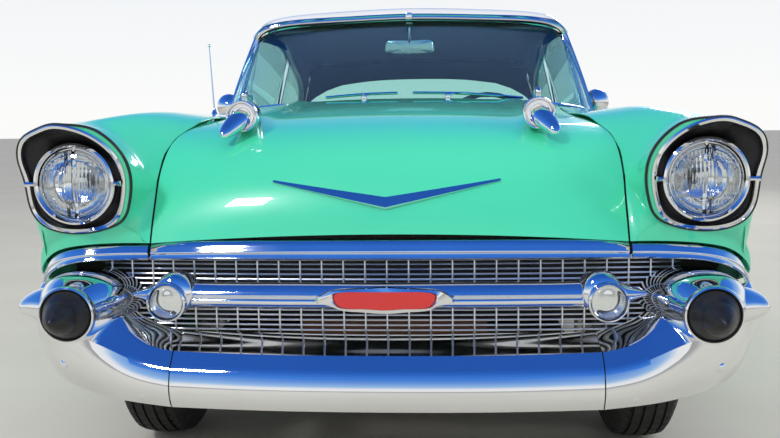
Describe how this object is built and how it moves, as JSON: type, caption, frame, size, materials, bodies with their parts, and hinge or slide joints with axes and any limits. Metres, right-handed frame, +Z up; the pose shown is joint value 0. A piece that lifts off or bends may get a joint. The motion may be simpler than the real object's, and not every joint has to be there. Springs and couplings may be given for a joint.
{
  "type": "1950s classic car",
  "caption": "Full-size two-door hardtop car with tail fins, chrome bumpers, opening hood, trunk lid and doors, steering and turning wheels.",
  "frame": {"origin": "middle of the car on the ground, under the centre of its bounding box", "axes": "+Z up, -Y towards the front of the car, +X to the left side of the car"},
  "size_m": [1.874, 5.08, 1.4918],
  "materials": {
    "paint_green": "high-gloss seafoam green body paint",
    "paint_white": "high-gloss white roof paint",
    "chrome": "bright chrome plating",
    "bright_metal": "satin bright aluminium mesh",
    "black_metal": "black chassis paint",
    "engine_metal": "painted cast iron",
    "bare_steel": "plain steel",
    "tyre": "black tyre rubber",
    "rubber": "black rubber",
    "tinted_glass": "lightly green-tinted glass",
    "lamp_glass": "fluted clear lamp glass",
    "red_lens": "red lamp lens",
    "seat_cloth": "dark cloth and vinyl seat cover",
    "dash_paint": "dark green dashboard paint",
    "dark_plastic": "dark gloss plastic"
  },
  "bodies": {
    "body_shell": {"antenna": "chrome", "bumper_bullets": "rubber", "cowl": "paint_green", "crossmembers": "black_metal", "dashboard": "dash_paint", "engine": "engine_metal", "exhaust": "bare_steel", "fender_left": "paint_green", "fender_mouldings": "chrome", "fender_right": "paint_green", "firewall": "black_metal", "floor_pan": "black_metal", "frame_rails": "black_metal", "front_bumper": "chrome", "front_seat": "seat_cloth", "fuel_tank": "bare_steel", "grille": "bright_metal", "grille_bar": "chrome", "headlamp_lenses": "lamp_glass", "headlamp_rings": "chrome", "inner_fenders": "black_metal", "interior_mirror": "chrome", "package_shelf": "seat_cloth", "quarter_left": "paint_green", "quarter_right": "paint_green", "quarter_windows": "tinted_glass", "radiator": "black_metal", "rear_axle": "black_metal", "rear_bumper": "chrome", "rear_panels": "paint_green", "rear_seat": "seat_cloth", "rear_window": "tinted_glass", "roof": "paint_white", "steering_column": "dash_paint", "suspension": "black_metal", "tail_lamps": "red_lens", "trunk_floor": "black_metal", "windshield": "tinted_glass", "wipers": "chrome"},
    "hood": {"hood": "paint_green", "hood_trim": "chrome"},
    "trunk_lid": {"trunk_lid": "paint_green"},
    "door_left": {"door_left": "paint_green", "door_glass_left": "tinted_glass", "mirror_left": "chrome"},
    "door_right": {"door_right": "paint_green", "door_glass_right": "tinted_glass", "mirror_right": "chrome"},
    "knuckle_left": {"knuckle_left": "bare_steel"},
    "knuckle_right": {"knuckle_right": "bare_steel"},
    "steering_wheel": {"steering_wheel": "dark_plastic"},
    "wheel_front_left": {"wheel_front_left": "chrome", "tyre_front_left": "tyre"},
    "wheel_front_right": {"wheel_front_right": "chrome", "tyre_front_right": "tyre"},
    "wheel_rear_left": {"wheel_rear_left": "chrome", "tyre_rear_left": "tyre"},
    "wheel_rear_right": {"wheel_rear_right": "chrome", "tyre_rear_right": "tyre"}
  },
  "joints": [
    {"name": "hood_hinge", "type": "hinge", "parent": "body_shell", "child": "hood", "pos_m": [0, -1.106, 1.08], "axis": [-1, 0, 0], "range_deg": [0, 50]},
    {"name": "trunk_hinge", "type": "hinge", "parent": "body_shell", "child": "trunk_lid", "pos_m": [0, 1.423, 0.997], "axis": [1, 0, 0], "range_deg": [0, 60]},
    {"name": "door_left_hinge", "type": "hinge", "parent": "body_shell", "child": "door_left", "pos_m": [0.91, -0.9, 0.6], "axis": [0, 0, -1], "range_deg": [0, 65]},
    {"name": "door_right_hinge", "type": "hinge", "parent": "body_shell", "child": "door_right", "pos_m": [-0.91, -0.9, 0.6], "axis": [0, 0, 1], "range_deg": [0, 65]},
    {"name": "steer_left", "type": "hinge", "parent": "body_shell", "child": "knuckle_left", "pos_m": [0.58, -1.702, 0.342], "axis": [0, 0, 1], "range_deg": [-30, 30]},
    {"name": "steer_right", "type": "hinge", "parent": "body_shell", "child": "knuckle_right", "pos_m": [-0.58, -1.702, 0.342], "axis": [0, 0, 1], "range_deg": [-30, 30]},
    {"name": "steering_wheel_turn", "type": "hinge", "parent": "body_shell", "child": "steering_wheel", "pos_m": [0.34, -0.53, 0.9], "axis": [0, 0.875, 0.4841], "range_deg": [-540, 540]},
    {"name": "wheel_front_left_spin", "type": "hinge", "parent": "knuckle_left", "child": "wheel_front_left", "pos_m": [0.7365, -1.702, 0.342], "axis": [1, 0, 0], "continuous": true},
    {"name": "wheel_front_right_spin", "type": "hinge", "parent": "knuckle_right", "child": "wheel_front_right", "pos_m": [-0.7365, -1.702, 0.342], "axis": [1, 0, 0], "continuous": true},
    {"name": "wheel_rear_left_spin", "type": "hinge", "parent": "body_shell", "child": "wheel_rear_left", "pos_m": [0.747, 1.219, 0.342], "axis": [1, 0, 0], "continuous": true},
    {"name": "wheel_rear_right_spin", "type": "hinge", "parent": "body_shell", "child": "wheel_rear_right", "pos_m": [-0.747, 1.219, 0.342], "axis": [1, 0, 0], "continuous": true}
  ],
  "couplings": [
    {"joint": "steer_right", "follows": "steer_left", "ratio": 1},
    {"joint": "steering_wheel_turn", "follows": "steer_left", "ratio": 18}
  ]
}
